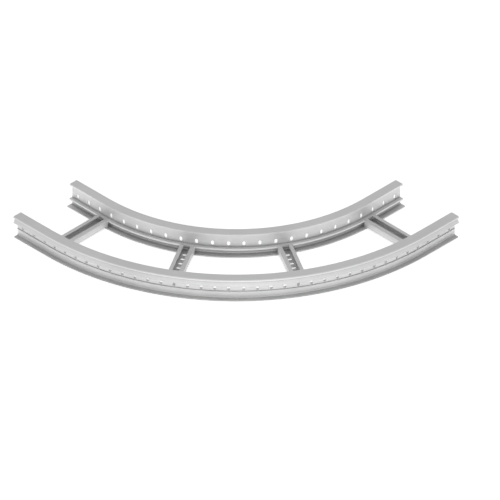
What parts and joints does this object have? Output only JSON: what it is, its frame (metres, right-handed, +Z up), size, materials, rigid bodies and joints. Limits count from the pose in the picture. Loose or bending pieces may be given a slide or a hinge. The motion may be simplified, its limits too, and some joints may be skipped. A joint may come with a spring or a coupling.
{
  "type": "cable ladder bend",
  "caption": "Horizontal cable ladder bend that turns a cable run through a right angle, with slotted flanged side rails welded to lipped channel rungs.",
  "frame": {"origin": "centre of the bend's bounding box, on the plane that both rails' undersides lie on", "axes": "+Z up, across the rails' height; X across the bend's mirror plane, which is X = 0; the centre of curvature lies towards +Y"},
  "size_m": [1.7558, 0.6912, 0.104],
  "materials": {
    "rail_aluminium": "mill-finish extruded aluminium, satin, with faint die lines along the rail",
    "rung_aluminium": "mill-finish extruded aluminium, satin, a shade duller than the rails"
  },
  "bodies": {
    "root": {"outer_rail": "rail_aluminium", "inner_rail": "rail_aluminium", "rung_left_end": "rung_aluminium", "rung_left_mid": "rung_aluminium", "rung_right_mid": "rung_aluminium", "rung_right_end": "rung_aluminium"}
  },
  "joints": []
}
